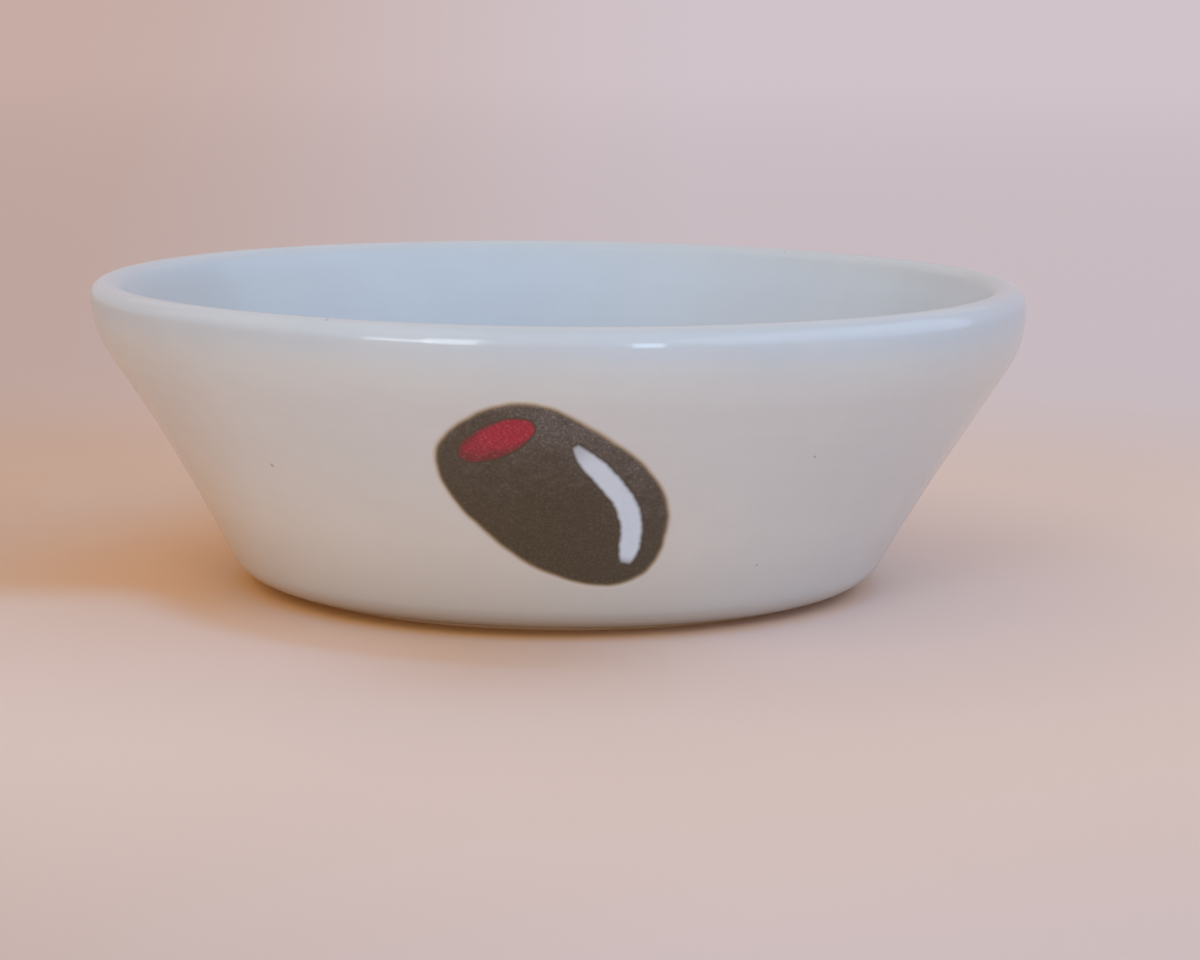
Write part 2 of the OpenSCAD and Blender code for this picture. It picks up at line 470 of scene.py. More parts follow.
SEEING_RAYS = ("Is Camera Ray", "Is Glossy Ray", "Is Transmission Ray")


def adds_math(operation, turned=False):
    """An operator of Number that adds a Math node, with its two values swapped where turned."""
    def apply(first, second):
        return first.math(operation, *((second, first) if turned else (first, second)))

    return apply


class Number:
    """A node's output in an expression. Sums and comparisons on it add Math nodes."""

    __add__ = __radd__ = adds_math("ADD")
    __sub__, __rsub__ = adds_math("SUBTRACT"), adds_math("SUBTRACT", turned=True)
    __mul__ = __rmul__ = adds_math("MULTIPLY")
    __truediv__, __pow__ = adds_math("DIVIDE"), adds_math("POWER")
    __gt__ = adds_math("GREATER_THAN")
    larger = adds_math("MAXIMUM")

    def __init__(self, maker, socket):
        self.maker, self.socket = maker, socket

    def math(self, operation, *values, clamp=False):
        """The result of a Math node on these values."""
        settings = {"operation": operation, "use_clamp": clamp}
        return self.maker.number("ShaderNodeMath", settings, dict(enumerate(values)))

    def clamped(self):
        """This number kept from 0 to 1."""
        return self.math("ADD", self, 0, clamp=True)

    def rising(self, low, high):
        """0 below low, 1 above high, and smooth between. With low above high it falls."""
        settings = {"interpolation_type": "SMOOTHSTEP"}
        inputs = {"Value": self, "From Min": low, "From Max": high}
        return self.maker.number("ShaderNodeMapRange", settings, inputs)


class NodeMaker:
    """Adds nodes to a material or to the sky, from an empty start."""

    def __init__(self, tree):
        self.nodes, self.links = tree.nodes, tree.links
        self.nodes.clear()

    def node(self, kind, settings=None, inputs=None):
        """Adds a node: its settings first, then a value or a link for each named socket."""
        made = self.nodes.new(kind)
        for name, value in (settings or {}).items():
            setattr(made, name, value)
        for name, value in (inputs or {}).items():
            self.feed(made.inputs[name], value)
        return made

    def feed(self, socket, value):
        """Links an output to a socket, or sets the socket's own value."""
        if isinstance(value, Number):
            value = value.socket
        if isinstance(value, bpy.types.NodeSocket):
            self.links.new(value, socket)
        elif hasattr(value, "__len__") and socket.type == "RGBA" and len(value) == 3:
            socket.default_value = (*value, 1)
        else:
            socket.default_value = value

    def number(self, kind, settings, inputs, output=0):
        """One output of a new node, for use in expressions."""
        return Number(self, self.node(kind, settings, inputs).outputs[output])

    def mix(self, share, first, second, blend="MIX"):
        """A colour between two others, or their product and the like."""
        made = self.node("ShaderNodeMix", {"data_type": "RGBA", "blend_type": blend})
        self.feed(made.inputs["Factor"], share)
        colours = [socket for socket in made.inputs if socket.type == "RGBA"]
        self.feed(colours[0], first)
        self.feed(colours[1], second)
        return next(socket for socket in made.outputs if socket.type == "RGBA")

    def seen(self):
        """1 for rays that come from the camera, also by way of a reflection, and 0 for others."""
        path = self.node("ShaderNodeLightPath")
        camera, glossy, through = (Number(self, path.outputs[name]) for name in SEEING_RAYS)
        return camera.larger(glossy).larger(through)

    def blended(self, share, first, second):
        """Two shader nodes mixed, as the output of a third."""
        inputs = {0: share, 1: first.outputs[0], 2: second.outputs[0]}
        return self.node("ShaderNodeMixShader", {}, inputs).outputs[0]


class Finish(NodeMaker):
    """A material in the making: its nodes, its coordinates and its patterns."""

    def __init__(self, name, **fixed):
        self.material = bpy.data.materials.new(name)
        self.material.use_nodes = True
        super().__init__(self.material.node_tree)
        self.surface = self.node("ShaderNodeBsdfPrincipled", {}, fixed)
        shader = {"Surface": self.surface.outputs["BSDF"]}
        self.output = self.node("ShaderNodeOutputMaterial", {}, shader)
        coordinates = self.node("ShaderNodeTexCoord").outputs["Object"]
        self.place = self.vector("MULTIPLY", coordinates, (1 / MM, 1 / MM, 1 / MM))
        split = self.node("ShaderNodeSeparateXYZ", {}, {0: self.place})
        self.x, self.y, self.z = (Number(self, split.outputs[k]) for k in range(3))
        self.radius = (self.x * self.x + self.y * self.y) ** 0.5

    def vector(self, operation, *values):
        """The result of a Vector Math node on these values."""
        made = self.node("ShaderNodeVectorMath", {"operation": operation}, dict(enumerate(values)))
        return made.outputs["Value" if operation == "DISTANCE" else "Vector"]

    def joined(self, x, y, z):
        """A vector, or a colour, from three numbers."""
        return self.node("ShaderNodeCombineXYZ", {}, {0: x, 1: y, 2: z}).outputs[0]

    def shade(self, base, amount):
        """A colour made lighter or darker by a number round 1."""
        return self.mix(1.0, base, self.joined(amount, amount, amount), "MULTIPLY")

    def noise(self, scale, detail=2.0, rough=0.5, place=None, shift=0.0):
        """Smooth noise from 0 to 1. scale is in waves per millimetre."""
        where = self.vector("ADD", place or self.place, (shift, shift, shift))
        inputs = {"Vector": where, "Scale": scale, "Detail": detail, "Roughness": rough}
        return self.number("ShaderNodeTexNoise", {}, inputs, "Fac")

    def stretched(self, round_share):
        """Coordinates in which patterns run round the dish as streaks."""
        return self.joined(self.x * round_share, self.y * round_share, self.z + self.radius * 0.7)

    def specks(self, cell, size, share, shift=0.0):
        """Small dots: 1 in the middle of a dot and 0 off it.

        Each cell of a Voronoi pattern has one point. The cell's own random number decides
        whether a dot is there, and how large it is.
        """
        where = self.vector("ADD", self.place, (shift, shift, shift))
        cells = self.node("ShaderNodeTexVoronoi", {}, {"Vector": where, "Scale": 1 / cell})
        distance = Number(self, cells.outputs["Distance"]) * cell
        pick = self.number("ShaderNodeSeparateColor", {}, {0: cells.outputs["Color"]})
        reach = (pick - (1 - share)) / share * size
        return (1 - distance / reach.larger(0.01)).clamped() ** 0.6 * (pick > 1 - share)

    def spot(self, place, size):
        """One dot at a place in millimetres: 1 in its middle, falling to 0 at its edge."""
        distance = Number(self, self.vector("DISTANCE", self.place, tuple(place)))
        return distance.rising(size, size * 0.35)

    def attribute(self, name):
        """A number that the piece's mesh carries on its points."""
        return self.number("ShaderNodeAttribute", {"attribute_name": name}, {}, "Fac")

    def seen_as(self, colour, share):
        """Shows a plain colour to the camera and in reflections, by this share of the surface."""
        shown = self.node("ShaderNodeEmission", {}, {"Color": colour, "Strength": 1.0})
        self.feed(self.output.inputs["Surface"], self.blended(self.seen() * share, self.surface, shown))

    def bump(self, height, distance_mm):
        """Feeds a height from 0 to 1 into the surface's normal."""
        inputs = {"Height": height, "Distance": distance_mm * MM, "Strength": 1.0}
        made = self.node("ShaderNodeBump", {}, inputs)
        self.links.new(made.outputs["Normal"], self.surface.inputs["Normal"])

    def paint(self, **sockets):
        """Feeds the surface's sockets, with _ for a space in a name."""
        for name, value in sockets.items():
            self.feed(self.surface.inputs[name.replace("_", " ").title()], value)


# Dots, as (cell, size, share of the cells that have one, shift), in millimetres: in the glazes,
# in the clay, and where the brush missed
GLAZE_IRON, GLAZE_IRON_LARGE = (4.2, 0.22, 0.12), (9.5, 0.3, 0.16, 31.0)
GLAZE_DUST, PINHOLES = (1.6, 0.12, 0.16, 57.0), (5.3, 0.16, 0.2, 83.0)
CLAY_IRON, CLAY_SAND = (1.7, 0.24, 0.3, 13.0), (1.2, 0.2, 0.3, 41.0)
OLIVE_MISSES, PIMENTO_MISSES = (1.2, 0.12, 0.12, 15.0), (0.8, 0.12, 0.2, 25.0)
# What is the same all over a glossy coat
GLOSS = {"IOR": 1.5, "Coat Roughness": 0.06, "Coat IOR": 1.5}
SOFT_GLOSS = {**GLOSS, "Coat Roughness": 0.14}


def glaze_skin(finish, base, dark, shine=0.7):
    """What both glazes share: mottling, iron specks, pinholes and a faint ripple."""
    cloud = finish.noise(0.09, 3.0, 0.55)
    fine = finish.noise(1.9, 2.0, 0.6, shift=7.0)
    streak = finish.noise(1.0, 3.0, 0.6, finish.stretched(0.03), 11.0)
    ripple = finish.noise(0.3, 2.0, 0.5, shift=19.0)
    tone = 0.915 + cloud * 0.05 + fine * 0.025 + streak * 0.04 + ripple * 0.035
    specks = finish.specks(*GLAZE_IRON).larger(finish.specks(*GLAZE_IRON_LARGE) * 0.8)
    dust = finish.specks(*GLAZE_DUST) * 0.3
    base = finish.mix(specks.larger(dust) * 0.45, finish.shade(base, tone), dark)
    pinholes = finish.specks(*PINHOLES)
    finish.bump(ripple * 0.7 + streak * 0.25 - pinholes * 0.5 - fine * 0.03, 0.03)
    finish.paint(base_color=base, roughness=0.34 + cloud * 0.12, coat_weight=shine - pinholes * 0.4)


# Iron spots on the wall, as the front view shows them: across, up and size in millimetres
IRON_SPOTS = ((-30.9, 18.5, 0.34), (27.4, 20.85, 0.26), (21.8, 8.0, 0.22), (-23.9, 35.9, 0.25))
# Painted shade and light in steps up the wall: a darker band under the swell, and lighter bands below
# and above it. Each starts and is full so many millimetres below the top of the lip, and adds a share
SWELL_SHADE_STEPS = ((17, 11, 0.03), (10, 5.5, -0.085), (3, 0.5, 0.03))


def wall_glaze_finish(colours, section):
    """Warm white, and cool over the lip: partly the glaze's own white, partly painted cool sky light.
    Towards the foot it is warmer, as painted warm light bounced up from the floor, and a little darker,
    as painted shade near the floor where it ends. A band of painted shade lies under the swell. On the
    right, where more light falls, the painted warmth and the shade at the foot show less.
    """
    finish = Finish("wall_glaze", **GLOSS)
    drift = (finish.noise(0.16, 2.0, 0.5, shift=3.0) - 0.5) * 3
    # More light falls on the right, so the painted warm bounce and the painted shade at the foot are
    # weaker there
    lit_right, top = finish.x.rising(5, 32), section.height
    # Painted warm floor bounce, rising towards the foot
    low = (finish.z + drift).rising(top - 9, 8) * (1 - lit_right * 0.7)
    # Cooler white over the lip, partly painted cool sky light
    high = (finish.z + drift * 0.5).rising(top - 7, top)
    base = finish.mix(low, colours.wall_glaze, colours.wall_warm_bounce)
    base = finish.mix(high, base, colours.lip_glaze)
    # Painted shade under the swell, with painted light below and above it
    swell = sum(finish.z.rising(top - start, top - full) * share for start, full, share in SWELL_SHADE_STEPS)
    # Painted shade near the floor, darkest at the foot
    foot = (finish.z.rising(13, 4) + finish.z.rising(6, 1)) * (0.14 - lit_right * 0.05)
    base = finish.shade(base, 1 + swell - foot)
    for across, up, size in IRON_SPOTS:
        place = onto_wall(section, np.array([across, up]), 0)
        base = finish.mix(finish.spot(place, size) * 0.5, base, colours.speck)
    glaze_skin(finish, base, colours.speck)
    return finish.material


def liner_glaze_finish(colours, section):
    """Pale blue, partly as painted cool sky light, greyer on the left as painted shade, and deeper in
    the cove and on the floor.
    """
    finish = Finish("liner_glaze", **SOFT_GLOSS)
    drift = (finish.noise(0.14, 2.0, 0.5, shift=23.0) - 0.5) * 4
    pool = (finish.z + drift).rising(section.floor_z + 9, section.floor_z - 1)
    lip = finish.z.rising(section.height - 4, section.height - 0.6)
    # Painted shade on the left of the inside, greyer and darker
    thin = finish.x.rising(-5, -48) * 0.75
    base = finish.mix(thin, colours.liner_glaze, colours.liner_left_shade)
    base = finish.mix(pool * 0.8, base, colours.liner_pool)
    # Cooler white at the lip, partly painted cool sky light
    base = finish.mix(lip, base, colours.lip_glaze)
    glaze_skin(finish, base, colours.speck, 0.38)
    return finish.material


def clay_finish(colours):
    """Bare fired stoneware: matt, with sand, iron and the marks of turning."""
    finish = Finish("bare_clay", IOR=1.45)
    sand = finish.noise(2.6, 4.0, 0.7)
    turned = finish.noise(1.5, 3.0, 0.6, finish.stretched(0.02), 5.0)
    cloud = finish.noise(0.08, 3.0, 0.5, shift=9.0)
    iron = finish.specks(*CLAY_IRON)
    pale = finish.specks(*CLAY_SAND)
    tone = 0.74 + sand * 0.24 + cloud * 0.16 + turned * 0.12
    base = finish.shade(colours.clay, tone)
    base = finish.mix(iron * 0.6, base, colours.speck)
    base = finish.mix(pale * 0.35, base, colours.wall_glaze)
    finish.bump(sand * 0.6 + turned * 0.5 + pale * 0.4, 0.12)
    finish.paint(base_color=base, roughness=0.82 + sand * 0.12)
    return finish.material


def paint_edge(finish, near, far, ragged=0.06):
    """1 at the very edge of a painted figure, falling to 0 inwards, with a brush's unevenness."""
    wander = (finish.noise(1.1, 3.0, 0.6, shift=2.0) - 0.5) * ragged
    return (finish.attribute("edge") + wander).rising(far, near)


def olive_finish(colours, middle):
    """Dark olive and grainy, and paler and greyer above its middle and to the right: a painted sheen of
    reflected light, broken up by the brush.

    The paint bleeds into the glaze at its edge: first ochre, then the wall's own colour.
    """
    finish = Finish("dark_paint", **GLOSS)
    grain = finish.noise(3.1, 3.0, 0.75) - 0.5
    mottle = finish.noise(0.9, 2.0, 0.6, shift=14.0) - 0.5
    brushed = finish.noise(0.2, 3.0, 0.55, shift=4.0)
    # Painted sheen: paler towards the top and the right
    above = (finish.z - middle[1]) * 0.055 + finish.x * 0.014 + brushed + mottle * 0.5
    above = above.rising(0.346, 1.246)
    tone = 1 + grain * (1.7 + above * 0.8) + mottle * 0.35
    base = finish.shade(finish.mix(above, colours.olive, colours.olive_sheen), tone)
    base = finish.mix(grain.rising(0.02, 0.3) * (0.05 + above * 0.12), base, colours.shine)
    base = finish.mix(finish.specks(*OLIVE_MISSES) * 0.3, base, colours.shine)
    base = finish.mix(paint_edge(finish, 0.25, 0.95, 0.14) * 0.8, base, colours.halo)
    base = finish.mix(paint_edge(finish, 0.02, 0.7), base, finish.shade(colours.wall_warm_bounce, 0.95))
    finish.bump(grain * 0.4 + brushed, 0.02)
    finish.paint(base_color=base, roughness=0.48 + grain * 0.15, coat_weight=0.5 - above * 0.2)
    return finish.material


def pimento_finish(colours, middle):
    """Red and grainy, and deeper at its edge, below its middle and left of it."""
    finish = Finish("red_paint", **GLOSS)
    grain = finish.noise(3.0, 3.0, 0.75) - 0.5
    cloud = finish.noise(0.5, 2.0, 0.5, shift=6.0)
    below = (middle[1] - finish.z) * 0.13 + (middle[0] - finish.x) * 0.04
    edge = paint_edge(finish, 0.0, 1.5, 0.3) * 0.5
    thin = (cloud + edge + grain + below).rising(0.45, 1.1)
    base = finish.mix(thin, colours.pimento, colours.pimento_deep)
    base = finish.shade(base, 1 + grain * 1.8)
    base = finish.mix(grain.rising(0.0, 0.3) * 0.12, base, colours.shine)
    base = finish.mix(finish.specks(*PIMENTO_MISSES) * 0.25, base, colours.shine)
    base = finish.mix(paint_edge(finish, 0.02, 0.55), base, colours.olive)
    finish.bump(grain, 0.02)
    finish.paint(base_color=base, roughness=0.48 + grain * 0.12, coat_weight=0.45)
    return finish.material


def shine_finish(colours):
    """Pale blue white, thin at both ends, with the dark paint showing through at the edges."""
    finish = Finish("pale_paint", **GLOSS)
    hair = finish.noise(1.3, 3.0, 0.6) - 0.5
    along = finish.attribute("along")
    ends = along.rising(0.2, 0.0) * 0.4 + along.rising(0.93, 1.0) * 0.6
    worn = (ends + hair * 0.16).clamped()
    base = finish.shade(colours.shine, 1 + hair * 0.2)
    # The stroke's worn ends show the olive paint under it, with its painted sheen
    base = finish.mix(worn, base, colours.olive_sheen)
    base = finish.mix(paint_edge(finish, 0.02, 0.6, 0.16), base, colours.olive)
    finish.bump(hair, 0.02)
    finish.paint(base_color=base, roughness=0.45 + hair * 0.1, coat_weight=0.5)
    return finish.material


# The layers of the dish

# The angles of the points round the dish
TURNS = whole_turn(480)
# The foot ring's rounded edges, and its flats, which start a little further in
FOOT_EDGE_R, FOOT_FLAT = 0.5, 0.9
# The groove at the hollow's edge and the bevel outside, as [out, up] from the corners they cut
GROOVE = np.array([[-0.3, 0.12], [0, -0.1]])
BEVEL = np.array([[0, -0.3], [0.12, -0.04], [0.5, 0]])
# The soft dimple in the hollow: height, middle and width
DIMPLE = (0.25, 0, 3.5)
# Where the hollow's ridges start to show and are full, in from its edge
HOLLOW_FADE = np.array([1.5, 4.5])
# How far the last rows stay off the poles: the clay's inside, and the others
CLAY_GAP, POLE_GAP = 0.5, 0.4
# Waves of the glaze line, as (waves in a turn, size, start)
LINE_WAVES = ((3, 0.12, 1.0), (7, 0.08, 0.2), (13, 0.05, 2.0), (29, 0.03, 5.0))
# How far up the wall the glaze's end is rounded, and its roll: share of a coat, middle, width
ROLL_REACH = 0.7
ROLL = (0.1, 0.9, 0.7)


# Rows of the wall's glaze, as shares of the way from the glaze line to the crest: outside, where
# they are closer together at both ends, and on the clay
WALL_SHARES = np.concatenate([
    np.linspace(0, 0.05, 10), 1 - 0.95 * np.linspace(1, 0, 150)[1:] ** 1.25
])[:, None]
BACK_SHARES = np.linspace(1, 0.004, 26)[:, None]


def level_line(start, end, height, count):
    """Points of a level line of the section, as [radius, height]."""
    return np.stack([np.linspace(start, end, count), np.full(count, height)], 1)


def clay_rows(section):
    """Rows of points over the clay, from the middle of the hollow round to the floor inside.

    The foot ring has quarter circles for edges, and its hollow has a turned spiral, a dimple
    and a groove. The outside and inside lie one coat of glaze under the skins.
    """
    edge_r, middle_z = FOOT_EDGE_R, section.hollow_h
    inside, outside, foot = section.foot_in, section.foot_out, section.foot_h
    ring = np.concatenate([
        level_line(POLE_GAP, inside - 2 * POLE_GAP, middle_z, 40),
        GROOVE + [inside, middle_z],
        edge_r * polar(np.linspace(180, 270, 9)) + [inside + edge_r, edge_r],
        level_line(inside + FOOT_FLAT, outside - FOOT_FLAT, 0, 8),
        edge_r * polar(np.linspace(-90, 0, 9)) + [outside - edge_r, edge_r],
        BEVEL + [outside, foot],
    ])
    radius, height = ring[:, :1], ring[:, 1:]
    turned = ridges(TURNS, radius, HOLLOW_RIDGE) * ramp(radius, *(inside - HOLLOW_FADE))
    lower = in_space(TURNS, radius, height + turned - rise(radius, *DIMPLE))
    up = np.linspace(0, section.outer_length, 70)[:, None]
    down = np.linspace(0, section.inner_length - CLAY_GAP, 60)[1:, None]
    return np.concatenate([
        lower,
        outer_points(section, TURNS, up, -section.glaze_t),
        inner_points(section, TURNS, down, -section.glaze_t),
    ])


def floor_pole(section, lift):
    """The point in the middle of the floor inside, raised by lift."""
    return inner_points(section, 0, section.inner_length, lift) * np.array([0, 0, 1])


def make_clay(section, colours):
    """The clay as one closed form, from a pole in the hollow to a pole on the floor inside."""
    rows = clay_rows(section)
    bottom = np.array([0, 0, rows[0, :, 2].mean()])
    piece = turned_solid("thrown_clay_body", rows, bottom, floor_pole(section, -section.glaze_t))
    finish_piece(piece, "bare_clay", clay_finish(colours), "clay_body")


def glaze_line(section, glaze_end):
    """Where the outer glaze starts along the skin: at its angle on the turn, plus a few waves."""
    return (math.pi / 2 - glaze_end) * section.turn_r + waves(TURNS, *LINE_WAVES)


def make_wall_glaze(section, sizes, colours):
    """A coat that ends above the foot in a quarter circle and a slightly thick roll.

    Its rows run up the outside from the glaze line to the crest, and back down on the clay.
    """
    start = glaze_line(section, sizes.glaze_end)
    lengths = start + WALL_SHARES * (section.outer_length - start)
    off_line = lengths - start
    rounding = np.sqrt(1 - (1 - ramp(off_line, 0, ROLL_REACH)) ** 2)
    lift = section.glaze_t * (rounding * (1 + rise(off_line, *ROLL)) - 1)
    outside = outer_points(section, TURNS, lengths, lift)
    back = start + BACK_SHARES * (section.outer_length - start)
    inside = outer_points(section, TURNS, back, -section.glaze_t)
    piece = turned_shell("wall_glaze_coat", np.concatenate([outside, inside]))
    finish_piece(piece, "wall_glaze", wall_glaze_finish(colours, section), "outer_glaze")


def make_liner_glaze(section, colours):
    """The coat inside: over the lip's inner edge, down the wall and across the floor.

    Its rows run on the clay from the middle of the floor to the crest, and back on top.
    """
    down = (section.inner_length - POLE_GAP) * np.linspace(0, 1, 150) ** 1.3
    outside = inner_points(section, TURNS, down[:, None], 0)
    inside = inner_points(section, TURNS, down[::-6][:, None], -section.glaze_t)
    rows = np.concatenate([inside, outside])
    poles = [floor_pole(section, lift) for lift in (-section.glaze_t, 0)]
    piece = turned_solid("liner_glaze_coat", rows, *poles)
    finish_piece(piece, "liner_glaze", liner_glaze_finish(colours, section), "inner_glaze")


# The painted olive

# The ovals' power, and the height of the olive's middle as a share of the dish's
OVAL_POWER, OLIVE_HEIGHT_SHARE = 2.1, 0.482
# Places on the olive, as shares of its half length and half width
PIMENTO_MIDDLE_SHARES = np.array([-0.65, 0.18])
SHINE_START_SHARES = np.array([-0.146, 0.685])
SHINE_END_SHARES = np.array([0.801, -0.304])
# The stroke's width at its tip, and how far along it is full, as shares
SHINE_TIP_SHARE, SHINE_TAPER_SHARE = 0.58, 0.28
# The powers that push the bow along and blunt the ends, and how far the columns stay off them
SHINE_LEAN, SHINE_BLUNT, SHINE_END_GAP = 1.3, 6, 0.03
FIGURE_COLUMNS = 320
# Rows of an oval figure, as shares of the way from its middle to its edge, closer at the edge
FIGURE_SHARES = np.concatenate([
    np.linspace(0.03, 0.9, 26), 1 - np.linspace(0.09, 0, 12) ** 1.2 * 1.6
])
# How far paint bleeds past its outline, how far it sinks into what is under it, and over how
# much of its edge each coat thins out
BLEED, SUNK = 0.3, 0.01
OLIVE_FEATHER, PIMENTO_FEATHER, SHINE_FEATHER = 0.9, 0.4, 0.3
# What stands out of a coat of paint after firing, as shares of its thickness
DARK_SHARE, BRIGHT_SHARE = 0.3, 0.2
# Waves in the edges, as (waves in a turn, share of the figure's width, start)
OLIVE_SWINGS = ((3, 0.015, 1.8), (4, 0.009, -2.63), (5, 0.011, 1.44))
OLIVE_EDGE = OLIVE_SWINGS + ((9, 0.0022, 0.5), (17, 0.0014, 4.0), (31, 0.0009, 1.0))
PIMENTO_EDGE = ((5, 0.008, 0.5), (9, 0.008, 3.0), (19, 0.006, 2.0))
SHINE_UPPER_EDGE = ((3, 0.02, 1.0), (8, 0.02, 0.0), (19, 0.015, 2.0))
SHINE_LOWER_EDGE = ((4, 0.04, 3.0), (9, 0.025, 1.3), (17, 0.012, 0.6))


def oval(turn, long, wide):
    """An oval a little squarer than an ellipse: the cosine and sine of the angle, each to the
    power 2 / OVAL_POWER with its sign kept, times half the length and width.
    """
    bent = polar(np.degrees(turn))
    bent = np.sign(bent) * np.abs(bent) ** (2 / OVAL_POWER)
    return bent * np.array([long / 2, wide / 2])


def brushed_oval(long, wide, terms):
    """The oval with its edge bled, and moved in and out by a few waves, as a brush leaves it."""
    turn = whole_turn(FIGURE_COLUMNS)
    edge = oval(turn, long, wide)
    move = wide * waves(turn, *terms) + BLEED
    return edge * (1 + move / np.hypot(edge[:, 0], edge[:, 1]))[:, None]


def turned_by(points, radians):
    """Flat points turned about the origin, as a turn from the first axis to the second."""
    c, s = math.cos(radians), math.sin(radians)
    return points @ np.array([[c, s], [-s, c]])


def onto_wall(section, flat, lift):
    """Points of the front view, [across, up], carried back onto the outer wall and raised.

    The height gives the length along the skin and its radius, and the distance across gives
    the angle round the dish.
    """
    skin = section.outer
    lengths = np.interp(flat[..., 1], skin[:, 1], skin[:, 4])
    turn = np.arcsin(flat[..., 0] / section.at(skin, lengths)[0])
    return outer_points(section, turn, lengths, lift)


def feathered(edge, reach):
    """How thick a coat is, from 0 at its edge to 1 a reach away, as share^2 (3 - 2 share)."""
    share = ramp(edge, 0, reach)
    return share**2 * (3 - 2 * share)


def oval_figure(section, name, outline, middle, base, thick, reach):
    """A painted oval on the wall, as a thin closed coat that thins out at its edge. Its rows
    widen from the middle to the outline, and run back under the coat.

    outline and middle are points of the front view. The mesh carries how far its points are in
    from the edge.
    """
    rows = middle + FIGURE_SHARES[:, None, None] * (outline - middle)
    edges = (1 - FIGURE_SHARES[:, None]) * np.hypot(*(outline - middle).T)
    top = onto_wall(section, rows, base + thick * feathered(edges, reach))
    back = onto_wall(section, rows[::-1], base - SUNK)
    poles = [onto_wall(section, middle, lift) for lift in (base + thick, base - SUNK)]
    piece = turned_solid(name, np.concatenate([top, back]), *poles)
    values = np.concatenate([edges.ravel(), edges[::-1].ravel(), np.full(2, edges.max())])
    add_attribute(piece, "edge", values)
    return piece


def olive_places(section, sizes):
    """The olive's half sizes, how its own flat points go to the front view, and how thick the
    dark coat and the coats on it look. Fired paint sinks in to half its thickness.
    """
    half = np.array([sizes.olive_l, sizes.olive_w]) / 2 / MM
    middle = np.array([0, section.height * OLIVE_HEIGHT_SHARE])
    coat = sizes.paint_t / MM

    def to_front(points):
        return middle + turned_by(points, -sizes.olive_tilt)

    return half, to_front, coat * DARK_SHARE, coat * BRIGHT_SHARE


def make_olive_paint(section, sizes, colours):
    """The dark oval, bled a little past its outline."""
    half, to_front, thick, _ = olive_places(section, sizes)
    outline = to_front(brushed_oval(*(2 * half), OLIVE_EDGE))[::-1]
    middle = to_front(np.zeros(2))
    piece = oval_figure(section, "painted_olive", outline, middle, 0, thick, OLIVE_FEATHER)
    finish_piece(piece, "dark_paint", olive_finish(colours, middle), "olive_paint")


def make_pimento_paint(section, sizes, colours):
    """The red oval, on the dark coat near its upper left end."""
    half, to_front, base, thick = olive_places(section, sizes)
    long, wide = sizes.pimento_l / MM, sizes.pimento_w / MM
    place = PIMENTO_MIDDLE_SHARES * half
    flat = turned_by(brushed_oval(long, wide, PIMENTO_EDGE), sizes.pimento_turn)
    outline, middle = to_front(place + flat)[::-1], to_front(place)
    name = "painted_pimento"
    piece = oval_figure(section, name, outline, middle, base, thick, PIMENTO_FEATHER)
    finish_piece(piece, "red_paint", pimento_finish(colours, middle), "pimento_paint")


def shine_stroke(sizes, half):
    """The stroke's middle line, the directions across it, and how far its two sides reach.

    The line runs straight from the tip to the blunt end, plus a bow that is a sine of the way
    along. The width grows from the tip as a sine, both ends are rounded by a high power, and
    a few short waves make the brush's ragged sides.
    """
    start, end = SHINE_START_SHARES * half, SHINE_END_SHARES * half
    share = (1 - np.cos(np.linspace(SHINE_END_GAP, math.pi - SHINE_END_GAP, 160))) / 2
    bow = sizes.shine_bow / MM * np.sin(math.pi * share**SHINE_LEAN)
    line = start + share[:, None] * (end - start)
    line = line + bow[:, None] * polar(angle_to(start, end) + 90)
    along = np.gradient(line, axis=0)
    across = np.stack([-along[:, 1], along[:, 0]], 1) / np.hypot(*along.T)[:, None]
    growth = np.sin(math.pi / 2 * np.minimum(1, share / SHINE_TAPER_SHARE))
    width = SHINE_TIP_SHARE + (1 - SHINE_TIP_SHARE) * growth
    width = width * np.sqrt(1 - np.abs(2 * share - 1) ** SHINE_BLUNT) * sizes.shine_w / MM / 2
    sides = [width * (1 + waves(share * TURN, *terms)) for terms in (SHINE_UPPER_EDGE, SHINE_LOWER_EDGE)]
    return share, line, across, *sides


def make_shine_paint(section, sizes, colours):
    """The stroke as a ribbon: columns along its length, and rows round its flat section."""
    half, to_front, base, thick = olive_places(section, sizes)
    share, line, across, upper, lower = shine_stroke(sizes, half)
    step = np.sin(np.linspace(-math.pi / 2, math.pi / 2, 19))[:, None]
    side = np.where(step > 0, upper, lower) + BLEED
    flat = to_front((line + (step * side)[..., None] * across).reshape(-1, 2))
    flat = flat.reshape(*side.shape, 2)
    walked = np.concatenate([[0], np.cumsum(np.hypot(*np.diff(line, axis=0).T))])
    edges = np.minimum(side * (1 - np.abs(step)), np.minimum(walked, walked[-1] - walked))
    top = onto_wall(section, flat, base + thick * feathered(edges, SHINE_FEATHER))
    back = onto_wall(section, flat[::-1], base - SUNK)
    rows = np.concatenate([top, back[1:-1]]).transpose(1, 0, 2)[::-1]
    piece = turned_solid("painted_shine", rows, rows[0].mean(0), rows[-1].mean(0))
    both = np.concatenate([edges, edges[::-1][1:-1]]).T[::-1]
    add_attribute(piece, "edge", np.concatenate([both.ravel(), [0, 0]]))
    way = np.repeat(share[::-1], both.shape[1])
    add_attribute(piece, "along", np.concatenate([way, [1, 0]]))
    finish_piece(piece, "pale_paint", shine_finish(colours), "shine_paint")


# The stage

